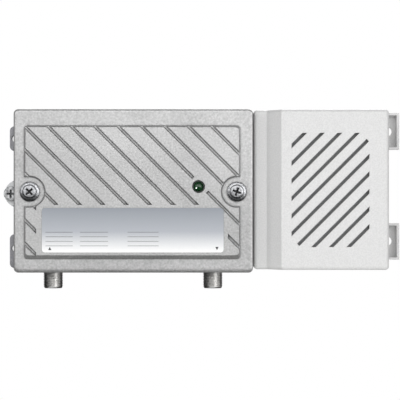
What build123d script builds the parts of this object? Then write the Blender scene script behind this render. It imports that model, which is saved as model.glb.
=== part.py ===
from build123d import *
from math import atan, degrees, sqrt
import os

os.makedirs("parts", exist_ok=True)

# A wall-mounted signal amplifier: a die-cast case on the left, a mains supply on the right.
# Lengths are in millimetres. X runs right, Z runs up, and Y runs back to the wall at zero.
# A depth is a distance in front of the wall, so a point at depth 10 has Y of -10.

# Gaps and the overrun of every cut past the face that it leaves
overrun = 1.0
seat_gap = 0.05
joint_gap = 0.3
housing_gap = 0.4
fit_play = 0.05
loose_play = 0.35

# Case outline and shells
case_width = 116.0
case_height = 79.2
case_front = 40.0
case_corner = 2.3
case_edge_round = 1.2
cover_wall = 2.6
cover_skin = 2.2
base_inset = 0.8
base_depth = 27.0
base_wall = 3.0
base_floor = 2.5
base_edge_round = 1.0

# Supply outline and shells
psu_width = 65.2
psu_height = 77.6
psu_lift = 0.6
psu_low_front = 33.0
psu_front = 43.0
psu_strip_width = 6.4
psu_slope_width = 6.8
psu_wall = 2.0
psu_corner = 1.8
psu_base_inset = 0.8
psu_base_depth = 20.0
psu_floor = 2.2

# Places that follow from the outlines
total_width = case_width + housing_gap + psu_width
case_left = -total_width / 2
case_right = case_left + case_width
case_x = case_left + case_width / 2
psu_left = case_right + housing_gap
psu_right = psu_left + psu_width
psu_x = psu_left + psu_width / 2
cover_back = base_depth + joint_gap
cover_ceiling = case_front - cover_skin
base_width = case_width - 2 * base_inset
base_height = case_height - 2 * base_inset
base_left = case_left + base_inset
base_right = case_right - base_inset
base_bottom = -base_height / 2
psu_cover_back = psu_base_depth + joint_gap
psu_base_width = psu_width - 2 * psu_base_inset
psu_base_height = psu_height - 2 * psu_base_inset
psu_base_left = psu_left + psu_base_inset
psu_base_right = psu_right - psu_base_inset
psu_base_bottom = psu_lift - psu_base_height / 2
psu_top = psu_lift + psu_height / 2

# Raised panel of the cover: margins at its foot, and how far its walls lean in
panel_rise = 1.4
panel_left_margin = 5.1
panel_right_margin = 6.2
panel_top_margin = 7.9
panel_bottom_margin = 6.5
panel_side_lean = 0.8
panel_top_lean = 0.9
panel_bottom_lean = 1.9
panel_corner = 1.6
panel_edge_round = 0.3
panel_front = case_front + panel_rise
panel_width = case_width - panel_left_margin - panel_right_margin
panel_height = case_height - panel_top_margin - panel_bottom_margin
panel_x = case_x + (panel_left_margin - panel_right_margin) / 2
panel_z = (panel_bottom_margin - panel_top_margin) / 2

# Cover screws with their washers, in clearings of the raised panel
screw_inset = 7.9
screw_z = -0.4
screw_radius = 1.95
screw_reach = 9.0
screw_pilot_extra = 1.5
screw_head_radius = 3.55
screw_head_height = 2.5
screw_head_round = 0.9
recess_span = 4.2
recess_width = 1.0
recess_depth = 1.5
left_recess_turn = 45.0
right_recess_turn = 20.0
earth_recess_turn = 0.0
washer_radius = 4.8
washer_height = 0.8
clearing_radius = 7.1
clearing_lean = 0.7
boss_radius = 4.4
cover_boss_radius = 4.6
screw_xs = (case_left + screw_inset, case_right - screw_inset)

# Status light: a lens on a long spacer that looks through the cover
led_inset_share = 0.2276
led_x = case_right - led_inset_share * case_width
led_z = 2.1
led_radius = 2.5
led_flange_radius = 2.85
led_flange_height = 1.0
led_body_height = 5.6
led_hole_radius = 3.1
led_proud = 0.4
led_spacer_radius = 2.7

# Label field that the grooves stop short of
label_width = 87.9
label_height = 21.5
label_left_inset = 13.85
label_bottom_inset = 9.8
label_x = case_left + label_left_inset + label_width / 2
label_z = -case_height / 2 + label_bottom_inset + label_height / 2
label_left_space = 3.2
label_right_space = 2.5
label_top_space = 2.0
label_corner_ease = 5.8

# Diagonal grooves of the panel, counted from the one that the light interrupts
groove_angle = 45.0
groove_pitch = 8.0
groove_floor_width = 0.8
groove_depth = 0.8
groove_wall_lean = 0.45
groove_shift = 1.13
groove_light_gap = 10.3
grooves_left = 10
grooves_right = 3

# Seal between the shells
seal_inset = 0.8
seal_width = 1.2
seal_depth = 1.0
seal_proud = 0.15
seal_play = 0.1

# Cable sockets in the bottom wall
thread_radius = 4.7625
socket_seat_radius = 4.5
socket_depth = 20.0
input_inset = 17.9
output_inset = 19.4
socket_reach = 9.0
socket_bore_radius = 3.6
socket_flange_radius = 6.2
socket_flange_height = 2.0
socket_chamfer = 0.6
insulator_setback = 0.5
insulator_lip = 1.5
contact_hole_radius = 0.65
contact_radius = 1.15
contact_bore_length = 8.0
contact_tail = 3.0
socket_xs = (case_left + input_inset, case_right - output_inset)

# Fixing lugs of the case
lug_reach = 5.7
lug_height = 5.0
lug_corner = 2.4
lug_hole_radius = 2.1
lug_hole_reach = 2.7
lug_root = 2.0
upper_lug_z = 26.3
upper_lug_length = 12.4
lower_lug_z = -30.0
lower_lug_length = 17.0
lug_pitch = 55.0

# Earth terminal on the left side of the case
earth_z = -1.3
earth_lug_radius = 6.8
earth_lug_front = 17.0
earth_lug_height = 6.0
earth_lug_reach = 6.4
earth_screw_clear = 3.9
earth_head_radius = 3.55
earth_head_height = 2.4
earth_washer_radius = 3.7
earth_washer_height = 0.8
earth_x = base_left - earth_screw_clear

# Amplifier board on four posts, kept off the walls of the base
board_side_clearance = 3.2
board_top_clearance = 1.3
board_bottom_clearance = 4.8
board_width = base_width - 2 * (base_wall + board_side_clearance)
board_height = base_height - 2 * base_wall - board_top_clearance - board_bottom_clearance
board_rise = (board_bottom_clearance - board_top_clearance) / 2
board_seat = 11.0
board_thickness = 1.6
board_corner = 1.5
board_front = board_seat + board_thickness
post_radius = 3.0
post_x_share = 0.9
post_z_share = 0.87
board_screw_radius = 1.25
board_screw_reach = 6.0
board_screw_head_radius = 2.7
board_screw_head_height = 1.9
boss_clearance = 0.8
board_posts = [
    (case_x + sx * post_x_share * board_width / 2, board_rise + sz * post_z_share * board_height / 2)
    for sx in (-1, 1)
    for sz in (-1, 1)
]

# Parts on the amplifier board: places as shares of its half width and half height,
# and the widths of the long parts as shares of its whole width
module_x_share = -0.03
module_z_share = 0.66
module_width_share = 0.294
module_flange_share = 0.436
module_width = module_width_share * board_width
module_depth = 12.0
module_flange_width = module_flange_share * board_width
module_flange_height = 2.5
module_pad_height = 5.5
module_body_height = 12.0
module_clearance = 1.0
can_width_share = 0.255
can_width = can_width_share * board_width
can_depth = 18.0
can_height = 8.0
can_corner = 1.0
can_x_shares = (-0.66, 0.62)
can_z_share = -0.46
trimmer_x_shares = (-0.50, -0.20, 0.10, 0.40)
trimmer_z_share = 0.12
trimmer_size = 8.4
trimmer_height = 4.6
trimmer_corner = 0.6
rotor_radius = 2.8
rotor_height = 2.6
rotor_sink = 1.4
rotor_slot_width = 0.8
rotor_slot_depth = 0.9
choke_x_shares = (-0.30, -0.15, 0.0, 0.15, 0.30)
choke_z_share = -0.35
choke_radius = 2.6
choke_waist_radius = 1.9
choke_height = 5.0
choke_rim = 0.9
capacitor_radius = 4.0
capacitor_height = 11.5
capacitor_edge = 0.7
capacitor_shares = ((-0.72, 0.60), (0.60, 0.60), (0.80, 0.36))
chip_width = 3.2
chip_depth = 1.6
chip_height = 1.1
chip_x_shares = (-0.36, -0.23, -0.10, 0.03, 0.16, 0.30)
chip_z_shares = (-0.62, -0.10)

# Supply front: sloped step and ventilation slots
slot_angle = 45.0
slot_pitch = 6.0
slot_width = 1.6
slot_count = 10
slot_shift = -1.28
slot_left_margin = 18.1
slot_right_margin = 9.5
slot_top_margin = 11.4
slot_bottom_margin = 11.1
slot_corner_ease = 4.3

# Insulating screen behind the slots, held off the cover by four pads
screen_margin = 0.9
screen_thickness = 0.5
screen_gap = 1.2
screen_tab_height = 6.0
screen_tab_inset = 2.8
screen_pad_radius = 1.6
screen_pad_inset = 3.0

# Fixing ears of the supply
ear_reach = 8.1
ear_length = 18.2
ear_height = 8.0
ear_floor = 3.0
ear_rim = 1.2
ear_hole_radius = 2.25
ear_hole_offset = 2.8
ear_z = 2.4
ear_pitch = 55.0

# Supply shell screws, driven from behind
shell_screw_inset = 6.5
shell_post_radius = 3.6
shell_screw_radius = 1.4
shell_screw_head_radius = 2.5
shell_screw_head_height = 1.8
shell_counterbore_radius = 2.9
shell_counterbore_depth = 12.0
shell_screw_end = 27.0
shell_posts = [
    (psu_x + sx * (psu_width / 2 - shell_screw_inset), psu_lift + sz * (psu_height / 2 - shell_screw_inset))
    for sx in (-1, 1)
    for sz in (-1, 1)
]

# Supply board, kept off the shell posts and the walls, and its parts
psu_board_side_clearance = 1.5
psu_board_end_clearance = 3.0
psu_board_width = psu_width - 2 * (shell_screw_inset + shell_post_radius + psu_board_side_clearance)
psu_board_height = psu_base_height - 2 * (psu_wall + psu_board_end_clearance)
psu_board_seat = 8.0
psu_board_thickness = 1.6
psu_board_front = psu_board_seat + psu_board_thickness
psu_post_radius = 2.6
psu_post_share = 0.86
core_width_share = 0.524
core_width = core_width_share * psu_board_width
core_depth = 19.0
core_height = 16.0
core_leg = 4.5
core_x_share = 0.05
core_z_share = 0.26
bobbin_clearance = 0.3
bobbin_radius = core_width / 2 - core_leg - bobbin_clearance
bulk_radius = 7.5
bulk_height = 20.0
bulk_x_share = -0.60
bulk_z_share = -0.30
line_cap_width_share = 0.381
line_cap_width = line_cap_width_share * psu_board_width
line_cap_depth = 7.0
line_cap_height = 13.0
line_cap_x_share = -0.45
line_cap_z_share = -0.70
line_choke_radius = 7.0
line_choke_bore = 3.0
line_choke_height = 8.0
line_choke_x_share = 0.42
line_choke_z_share = -0.30
terminal_width_share = 0.286
terminal_width = terminal_width_share * psu_board_width
terminal_depth = 9.0
terminal_height = 11.0
terminal_x_share = 0.55
terminal_z_share = -0.76
terminal_hole_radius = 1.6
terminal_pitch = terminal_width / 2
fuse_radius = 2.6
fuse_length = 20.0
fuse_x_share = 0.82
fuse_z_share = 0.30
fuse_rise = 4.2
clip_width = 6.4
clip_length = 3.0
output_cap_radius = 4.0
output_cap_height = 13.0
output_cap_shares = ((-0.70, 0.74), (-0.25, 0.74))
sink_width_share = 0.476
sink_width = sink_width_share * psu_board_width
sink_thickness = 2.0
sink_height = 16.0
sink_x_share = 0.45
sink_z_share = 0.88
regulator_width = 10.0
regulator_thickness = 4.4
regulator_height = 13.0

# Wire passage between case and supply, and the two screws that join them
feed_z = 12.0
feed_depth = 16.0
feed_radius = 3.0
feed_bore_radius = 1.9
feed_flange_radius = 4.4
feed_flange_height = 1.2
feed_pin_radius = 0.6
feed_pin_spacing = 1.6
feed_pin_reach = 3.0
tie_screw_radius = 1.95
tie_screw_head_radius = 3.5
tie_screw_head_height = 2.2
tie_nut_radius = 3.6
tie_nut_height = 2.4
tie_depth = 17.5
tie_zs_share = 0.56

# Mains cord inlet in the bottom of the supply
inlet_x_share = 0.42
inlet_depth = 10.0
inlet_radius = 5.0
inlet_bore_radius = 3.3
inlet_flange_radius = 6.2
inlet_flange_height = 1.1
inlet_clearance = 0.05
inlet_x = psu_x + inlet_x_share * psu_width / 2


def at_depth(depth):
    """Drawing plane parallel to the wall, facing the front, with X right and Z up"""
    return Plane.XZ.offset(depth)


def slab(width, height, back, front, x=0, z=0, corner=0):
    """Block between two depths, with rounded corners where one is given"""
    outline = RectangleRounded(width, height, corner) if corner else Rectangle(width, height)
    return extrude(at_depth(back) * Pos(x, z) * outline, front - back)


def disc(radius, back, front, x, z):
    """Round bar between two depths"""
    return extrude(at_depth(back) * Pos(x, z) * Circle(radius), front - back)


def upright(radius, low, high, x, depth):
    """Round bar along Z between two heights"""
    return extrude(Plane.XY.offset(low) * Pos(x, -depth) * Circle(radius), high - low)


def crossbar(radius, left, right, depth, z):
    """Round bar along X between two places"""
    return extrude(Plane.YZ.offset(left) * Pos(-depth, z) * Circle(radius), right - left)


def front_edges(body):
    """Edges of the face nearest the viewer"""
    return body.faces().sort_by(Axis.Y)[0].edges()


def back_edges(body):
    """Edges of the face nearest the wall"""
    return body.faces().sort_by(Axis.Y)[-1].edges()


def cross_recess(front, x, z, turn):
    """Cutter for the driving cross of a screw head"""
    arms = Rectangle(recess_span, recess_width) + Rectangle(recess_width, recess_span)
    plane = at_depth(front - recess_depth) * Pos(x, z) * Rot(0, 0, turn)
    return extrude(plane * arms, recess_depth + overrun)


def pan_screw(head_back, head_height, head_radius, end, x, z, turn):
    """Screw that points at the wall, with a rounded head and a driving cross"""
    head = disc(head_radius, head_back, head_back + head_height, x, z)
    head = fillet(front_edges(head), screw_head_round)
    head += disc(screw_radius, end, head_back, x, z)
    return head - cross_recess(head_back + head_height, x, z, turn)


def flat_washer(radius, height, back, x, z):
    """Washer for one of the screws of the case"""
    washer = disc(radius, back, back + height, x, z)
    return washer - disc(screw_radius + fit_play, back - overrun, back + height + overrun, x, z)


# Die-cast base of the case, with its lugs


def make_base_casting():
    body = slab(base_width, base_height, 0, base_depth, case_x, 0, case_corner)
    body = fillet(back_edges(body), base_edge_round)
    room_width = base_width - 2 * base_wall
    room_height = base_height - 2 * base_wall
    body -= slab(room_width, room_height, base_floor, base_depth + overrun, case_x, 0, case_corner)
    for x in screw_xs:
        body += disc(boss_radius, 0, base_depth, x, screw_z)
        pilot_end = base_depth - screw_reach - screw_pilot_extra
        body -= disc(screw_radius + fit_play, pilot_end, base_depth + overrun, x, screw_z)
    for x, z in board_posts:
        body += disc(post_radius, 0, board_seat, x, z)
        pilot_end = board_seat - board_screw_reach
        body -= disc(board_screw_radius + fit_play, pilot_end, board_seat + overrun, x, z)
    body += make_module_pad()
    body += make_case_lug(upper_lug_z, upper_lug_length, upper_lug_z)
    body += make_case_lug(lower_lug_z, lower_lug_length, upper_lug_z - lug_pitch)
    body += make_earth_lug()
    body -= make_seal_ring(0, base_depth + overrun)
    for x in socket_xs:
        hole_top = base_bottom + base_wall + overrun
        body -= upright(socket_seat_radius + fit_play, base_bottom - overrun, hole_top, x, socket_depth)
    return body - make_side_holes()


def make_module_pad():
    """Pad that takes heat from the amplifier module into the case"""
    x = case_x + module_x_share * board_width / 2
    z = board_rise + module_z_share * board_height / 2
    return slab(module_flange_width, module_depth, 0, base_floor + module_pad_height, x, z)


def make_case_lug(z, length, hole_z):
    """Flat foot with a screw hole at the left of the case"""
    width = lug_reach + lug_root
    x = base_left - lug_reach + width / 2
    lug = slab(width, length, 0, lug_height, x, z)
    outer = lug.edges().filter_by(Axis.Y).sort_by(Axis.X)[0:2]
    lug = fillet(outer, lug_corner)
    return lug - disc(lug_hole_radius, -overrun, lug_height + overrun, base_left - lug_hole_reach, hole_z)


def make_earth_lug():
    """Round lug that carries the earth screw"""
    back = earth_lug_front - earth_lug_height
    x = base_left - earth_lug_reach + earth_lug_radius - base_inset
    lug = disc(earth_lug_radius, back, earth_lug_front, x, earth_z)
    size = 2 * earth_lug_radius
    lug &= slab(size, size, back, earth_lug_front, base_left + base_wall / 2 - earth_lug_radius, earth_z)
    return lug - disc(screw_radius + fit_play, back - overrun, earth_lug_front + overrun, earth_x, earth_z)


def make_seal_ring(play, front):
    """Ring along the rim of the base, drawn in on both sides by a play"""
    outer_width = base_width - 2 * (seal_inset + play)
    outer_height = base_height - 2 * (seal_inset + play)
    inner_width = outer_width - 2 * (seal_width - 2 * play)
    inner_height = outer_height - 2 * (seal_width - 2 * play)
    back = base_depth - seal_depth
    outer = slab(outer_width, outer_height, back, front, case_x, 0, case_corner)
    inner_corner = case_corner / 2
    return outer - slab(inner_width, inner_height, back - overrun, front + overrun, case_x, 0, inner_corner)


def make_side_holes():
    """Holes for the wire passage and the tie screws, through both facing walls"""
    left = base_right - base_wall - overrun
    right = psu_base_left + psu_wall + overrun
    holes = crossbar(feed_radius + fit_play, left, right, feed_depth, feed_z)
    for z in tie_zs():
        holes += crossbar(tie_screw_radius + fit_play, left, right, tie_depth, z)
    return holes


def tie_zs():
    return [side * tie_zs_share * base_height / 2 for side in (-1, 1)]


# Die-cast cover with the raised and grooved panel


def make_cover_casting():
    body = slab(case_width, case_height, cover_back, case_front, case_x, 0, case_corner)
    body = fillet(front_edges(body), case_edge_round)
    room_width = case_width - 2 * cover_wall
    room_height = case_height - 2 * cover_wall
    body -= slab(room_width, room_height, cover_back - overrun, cover_ceiling, case_x, 0, case_corner)
    for x in screw_xs:
        body += disc(cover_boss_radius, cover_back, cover_ceiling, x, screw_z)
    body += make_panel()
    for x in screw_xs:
        body -= disc(screw_radius + loose_play, cover_back - overrun, panel_front + overrun, x, screw_z)
    body -= disc(led_hole_radius, cover_ceiling - overrun, panel_front + overrun, led_x, led_z)
    return body


def make_panel():
    """Raised panel with leaning walls, cleared round the screws and cut by the grooves"""
    foot = RectangleRounded(panel_width, panel_height, panel_corner)
    top_width = panel_width - 2 * panel_side_lean
    top_height = panel_height - panel_top_lean - panel_bottom_lean
    top = RectangleRounded(top_width, top_height, panel_corner)
    place = Pos(panel_x, panel_z)
    raised = place * Pos(0, (panel_bottom_lean - panel_top_lean) / 2)
    panel = loft([at_depth(case_front) * place * foot, at_depth(panel_front) * raised * top])
    panel = fillet(front_edges(panel), panel_edge_round)
    lean = degrees(atan(clearing_lean / panel_rise))
    mouth = Rectangle(2 * clearing_radius, 2 * clearing_radius)
    for x, side in zip(screw_xs, (-1, 1)):
        clearing = Circle(clearing_radius) + Pos(side * clearing_radius, 0) * mouth
        floor = at_depth(case_front) * Pos(x, screw_z) * clearing
        panel -= extrude(floor, panel_rise + overrun, taper=-lean)
    lean = degrees(atan(groove_wall_lean / groove_depth))
    groove_plane = at_depth(panel_front - groove_depth)
    for outline in groove_outlines().faces():
        panel -= extrude(groove_plane * outline, groove_depth + overrun, taper=-lean)
    return panel


def groove_outlines():
    """Floors of the grooves: slanted strips, kept off the label and the status light"""
    strips = Sketch()
    length = panel_width + panel_height
    for index in range(-grooves_left, grooves_right + 1):
        offset = (groove_shift + index * groove_pitch) / sqrt(2)
        place = Pos(led_x + offset, led_z + offset) * Rot(0, 0, -groove_angle)
        strips += place * Rectangle(length, groove_floor_width)
    field = Pos(panel_x, panel_z) * Rectangle(panel_width + 2 * overrun, panel_height + 2 * overrun)
    left = label_x - label_width / 2 - label_left_space
    right = label_x + label_width / 2 + label_right_space
    top = label_z + label_height / 2 + label_top_space
    bottom = panel_z - panel_height / 2 - 2 * overrun
    points = [
        (left, top),
        (right - label_corner_ease, top),
        (right, top - label_corner_ease),
        (right, bottom),
        (left, bottom),
    ]
    field -= make_face(Polyline(*points, close=True))
    field -= Pos(led_x, led_z) * Rot(0, 0, -groove_angle) * Rectangle(groove_light_gap, groove_pitch)
    return strips & field


# Seal, cover screws and washers


def make_cover_seal():
    return make_seal_ring(seal_play, base_depth + seal_proud)


def make_cover_washer(x):
    return flat_washer(washer_radius, washer_height, case_front + seat_gap, x, screw_z)


def make_cover_screw(x, turn):
    head_back = case_front + washer_height + 2 * seat_gap
    end = base_depth - screw_reach
    return pan_screw(head_back, screw_head_height, screw_head_radius, end, x, screw_z, turn)


# Earth screw and its washer


def make_earth_washer():
    return flat_washer(earth_washer_radius, earth_washer_height, earth_lug_front + seat_gap, earth_x, earth_z)


def make_earth_screw():
    head_back = earth_lug_front + earth_washer_height + 2 * seat_gap
    end = earth_lug_front - earth_lug_height - seat_gap
    turn = earth_recess_turn
    return pan_screw(head_back, earth_head_height, earth_head_radius, end, earth_x, earth_z, turn)


# Cable sockets: threaded barrel, insulator and spring contact


def socket_mouth():
    return base_bottom - socket_reach


def make_socket_barrel(x):
    inner = base_bottom + base_wall + seat_gap
    top = inner + socket_flange_height
    barrel = upright(thread_radius, socket_mouth(), base_bottom - seat_gap, x, socket_depth)
    barrel = chamfer(barrel.faces().sort_by(Axis.Z)[0].edges(), socket_chamfer)
    barrel += upright(socket_seat_radius, base_bottom - seat_gap, inner, x, socket_depth)
    barrel += upright(socket_flange_radius, inner, top, x, socket_depth)
    return barrel - upright(socket_bore_radius, socket_mouth() - overrun, top + overrun, x, socket_depth)


def make_socket_insulator(x):
    low = socket_mouth() + insulator_setback
    high = base_bottom + base_wall + socket_flange_height
    body = upright(socket_bore_radius - fit_play, low, high, x, socket_depth)
    body -= upright(contact_radius + fit_play, low + insulator_lip, high + overrun, x, socket_depth)
    return body - upright(contact_hole_radius, low - overrun, high, x, socket_depth)


def make_socket_contact(x):
    low = socket_mouth() + insulator_setback + insulator_lip + fit_play
    high = base_bottom + base_wall + socket_flange_height + contact_tail
    body = upright(contact_radius, low, high, x, socket_depth)
    return body - upright(contact_hole_radius, low - overrun, low + contact_bore_length, x, socket_depth)


# Amplifier board and what it carries


def board_place(x_share, z_share):
    """Point on the board from shares of its half width and half height"""
    return case_x + x_share * board_width / 2, board_rise + z_share * board_height / 2


def make_amplifier_board():
    board = slab(board_width, board_height, board_seat, board_front, case_x, board_rise, board_corner)
    for x in screw_xs:
        board -= disc(boss_radius + boss_clearance, board_seat - overrun, board_front + overrun, x, screw_z)
    x, z = board_place(module_x_share, module_z_share)
    opening = (module_flange_width + 2 * module_clearance, module_depth + 2 * module_clearance)
    board -= slab(*opening, board_seat - overrun, board_front + overrun, x, z)
    for x, z in board_posts:
        board -= disc(board_screw_radius + fit_play, board_seat - overrun, board_front + overrun, x, z)
    return board


def make_board_screws():
    screws = []
    for x, z in board_posts:
        screw = disc(board_screw_head_radius, board_front, board_front + board_screw_head_height, x, z)
        screw += disc(board_screw_radius, board_seat - board_screw_reach, board_front, x, z)
        screws.append(screw)
    return screws


def make_amplifier_module():
    x, z = board_place(module_x_share, module_z_share)
    flange_back = base_floor + module_pad_height
    flange_front = flange_back + module_flange_height
    module = slab(module_flange_width, module_depth, flange_back, flange_front, x, z)
    return module + slab(module_width, module_depth, flange_front, flange_front + module_body_height, x, z)


def make_filter_can(x_share):
    x, z = board_place(x_share, can_z_share)
    return slab(can_width, can_depth, board_front, board_front + can_height, x, z, can_corner)


def make_trimmer_body(x_share):
    x, z = board_place(x_share, trimmer_z_share)
    front = board_front + trimmer_height
    body = slab(trimmer_size, trimmer_size, board_front, front, x, z, trimmer_corner)
    return body - disc(rotor_radius + fit_play, front - rotor_sink - seat_gap, front + overrun, x, z)


def make_trimmer_rotor(x_share):
    x, z = board_place(x_share, trimmer_z_share)
    back = board_front + trimmer_height - rotor_sink
    front = back + rotor_height
    rotor = disc(rotor_radius, back, front, x, z)
    slot = slab(2 * rotor_radius + overrun, rotor_slot_width, front - rotor_slot_depth, front + overrun, x, z)
    return rotor - slot


def make_filter_chokes():
    chokes = []
    for x_share in choke_x_shares:
        x, z = board_place(x_share, choke_z_share)
        front = board_front + choke_height
        choke = disc(choke_waist_radius, board_front, front, x, z)
        choke += disc(choke_radius, board_front, board_front + choke_rim, x, z)
        choke += disc(choke_radius, front - choke_rim, front, x, z)
        chokes.append(choke)
    return chokes


def make_board_capacitors():
    cans = []
    for x_share, z_share in capacitor_shares:
        x, z = board_place(x_share, z_share)
        can = disc(capacitor_radius, board_front, board_front + capacitor_height, x, z)
        cans.append(fillet(front_edges(can), capacitor_edge))
    return cans


def make_surface_parts():
    chips = []
    for z_share in chip_z_shares:
        for x_share in chip_x_shares:
            x, z = board_place(x_share, z_share)
            chips.append(slab(chip_width, chip_depth, board_front, board_front + chip_height, x, z))
    return chips


def make_led_spacer():
    return disc(led_spacer_radius, board_front, led_back(), led_x, led_z)


def led_back():
    return panel_front + led_proud - led_body_height - led_flange_height - led_radius


def make_status_led():
    flange_front = led_back() + led_flange_height
    dome_back = flange_front + led_body_height
    body = disc(led_flange_radius, led_back(), flange_front, led_x, led_z)
    body += disc(led_radius, flange_front, dome_back, led_x, led_z)
    return body + Pos(led_x, -dome_back, led_z) * Sphere(led_radius)


# Supply base with ears


def make_psu_base():
    body = slab(psu_base_width, psu_base_height, 0, psu_base_depth, psu_x, psu_lift, psu_corner)
    body = fillet(back_edges(body), base_edge_round)
    room_width = psu_base_width - 2 * psu_wall
    room_height = psu_base_height - 2 * psu_wall
    room_front = psu_base_depth + overrun
    body -= slab(room_width, room_height, psu_floor, room_front, psu_x, psu_lift, psu_corner / 2)
    for x, z in shell_posts:
        body += disc(shell_post_radius, 0, psu_base_depth, x, z)
        body -= disc(shell_counterbore_radius, -overrun, shell_counterbore_depth, x, z)
        body -= disc(shell_screw_radius + fit_play, 0, psu_base_depth + overrun, x, z)
    for x, z in psu_board_posts():
        body += disc(psu_post_radius, 0, psu_board_seat, x, z)
    for z in (ear_z + ear_pitch / 2, ear_z - ear_pitch / 2):
        body += make_ear(z)
    hole_top = psu_base_bottom + psu_wall + overrun
    body -= upright(inlet_radius + inlet_clearance, psu_base_bottom - overrun, hole_top, inlet_x, inlet_depth)
    return body - make_side_holes()


def make_ear(z):
    """Tray-shaped ear with a rim on three sides and a screw hole"""
    root = psu_wall / 2
    left = psu_base_right - root
    right = psu_right + ear_reach
    ear = slab(right - left, ear_length, 0, ear_height, (left + right) / 2, z)
    pocket_right = right - ear_rim
    pocket_left = psu_base_right
    pocket_width = pocket_right - pocket_left
    pocket_height = ear_length - 2 * ear_rim
    pocket_x = (pocket_left + pocket_right) / 2
    ear -= slab(pocket_width, pocket_height, ear_floor, ear_height + overrun, pocket_x, z)
    return ear - disc(ear_hole_radius, -overrun, ear_height, psu_right + ear_hole_offset, z)


def psu_board_posts():
    return [psu_place(sx * psu_post_share, sz * psu_post_share) for sx in (-1, 1) for sz in (-1, 1)]


# Supply cover with the step and the slots


def psu_profile(inset, back):
    """Section of the cover seen from above, drawn in by an inset"""
    left = psu_left + inset
    right = psu_right - inset
    low = psu_low_front - inset
    high = psu_front - inset
    step = psu_left + psu_strip_width
    crest = step + psu_slope_width
    lean = inset * psu_slope_width / (psu_front - psu_low_front) / 2
    points = [
        (left, -back),
        (left, -low),
        (step + lean, -low),
        (crest + lean, -high),
        (right, -high),
        (right, -back),
    ]
    return make_face(Polyline(*points, close=True))


def make_slot_screen():
    """Sheet over the slot field, with a tab above and below that carries the pads"""
    left = psu_left + slot_left_margin - screen_margin
    right = psu_right - slot_right_margin + screen_margin
    top = psu_top - slot_top_margin + screen_margin
    bottom = psu_top - psu_height + slot_bottom_margin - screen_margin
    ceiling = psu_front - psu_wall
    front = ceiling - screen_gap
    back = front - screen_thickness
    middle_x = (left + right - screen_tab_inset) / 2
    middle_z = (top + bottom) / 2
    tab_width = right - left - screen_tab_inset
    tab_span = top - bottom + 2 * screen_tab_height
    sheet = slab(right - left, top - bottom, back, front, (left + right) / 2, middle_z)
    sheet += slab(tab_width, tab_span, back, front, middle_x, middle_z)
    for sx in (-1, 1):
        for sz in (-1, 1):
            pad_x = middle_x + sx * (tab_width / 2 - screen_pad_inset)
            pad_z = middle_z + sz * (tab_span / 2 - screen_pad_inset)
            sheet += disc(screen_pad_radius, front, ceiling, pad_x, pad_z)
    return sheet


def make_psu_cover():
    bottom = psu_lift - psu_height / 2
    body = extrude(Plane.XY.offset(bottom) * psu_profile(0, psu_cover_back), psu_height)
    rounded = [edge for edge in body.edges() if not on_cover_back(edge) and not on_step(edge)]
    body = fillet(rounded, psu_corner)
    room_outline = Plane.XY.offset(bottom + psu_wall) * psu_profile(psu_wall, psu_cover_back - overrun)
    body -= extrude(room_outline, psu_height - 2 * psu_wall)
    for x, z in shell_posts:
        post_front = psu_low_front - psu_wall if x < psu_x else psu_front - psu_wall
        body += disc(shell_post_radius, psu_cover_back, post_front, x, z)
        hole_end = shell_screw_end + seat_gap
        body -= disc(shell_screw_radius + fit_play, psu_cover_back - overrun, hole_end, x, z)
    for outline in slot_outlines().faces():
        slot_plane = at_depth(psu_front - psu_wall - overrun)
        body -= extrude(slot_plane * outline, psu_wall + 2 * overrun)
    return body


def on_cover_back(edge):
    return abs(edge.center().Y + psu_cover_back) < seat_gap


def on_step(edge):
    """True for the two upright lines of the sloped step"""
    center = edge.center()
    inner = psu_left + psu_corner < center.X < psu_right - psu_corner
    halfway_up = abs(center.Z - psu_lift) < psu_corner
    return inner and halfway_up


def slot_outlines():
    """Slanted strips, clipped to the slot field with two corners cut off square to the slots"""
    left = psu_left + slot_left_margin
    right = psu_right - slot_right_margin
    top = psu_top - slot_top_margin
    bottom = psu_top - psu_height + slot_bottom_margin
    points = [
        (left, top),
        (right - slot_corner_ease, top),
        (right, top - slot_corner_ease),
        (right, bottom),
        (left + slot_corner_ease, bottom),
        (left, bottom + slot_corner_ease),
    ]
    field = make_face(Polyline(*points, close=True))
    middle_x = (left + right) / 2
    middle_z = (top + bottom) / 2
    length = (right - left) + (top - bottom)
    strips = Sketch()
    for index in range(slot_count):
        offset = (slot_shift + (index - (slot_count - 1) / 2) * slot_pitch) / sqrt(2)
        place = Pos(middle_x + offset, middle_z - offset) * Rot(0, 0, slot_angle)
        strips += place * Rectangle(length, slot_width)
    return strips & field


def make_shell_screws():
    screws = []
    for x, z in shell_posts:
        head_front = shell_counterbore_depth
        head_back = head_front - shell_screw_head_height
        screw = disc(shell_screw_head_radius, head_back, head_front, x, z)
        screw += disc(shell_screw_radius, head_front, shell_screw_end, x, z)
        screws.append(screw)
    return screws


# Supply board and what it carries


def psu_place(x_share, z_share):
    """Point on the supply board from shares of its half width and half height"""
    return psu_x + x_share * psu_board_width / 2, psu_lift + z_share * psu_board_height / 2


def make_psu_board():
    width = psu_board_width
    return slab(width, psu_board_height, psu_board_seat, psu_board_front, psu_x, psu_lift, board_corner)


def make_transformer_core():
    x, z = psu_place(core_x_share, core_z_share)
    front = psu_board_front + core_height
    core = slab(core_width, core_depth, psu_board_front, front, x, z)
    window_width = core_width - 2 * core_leg
    window = slab(window_width, core_depth + overrun, psu_board_front + core_leg, front - core_leg, x, z)
    return core - window


def make_transformer_bobbin():
    x, z = psu_place(core_x_share, core_z_share)
    front = psu_board_front + core_height - core_leg - fit_play
    return disc(bobbin_radius, psu_board_front + core_leg + fit_play, front, x, z)


def make_bulk_capacitor():
    x, z = psu_place(bulk_x_share, bulk_z_share)
    can = disc(bulk_radius, psu_board_front, psu_board_front + bulk_height, x, z)
    return fillet(front_edges(can), capacitor_edge)


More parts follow.
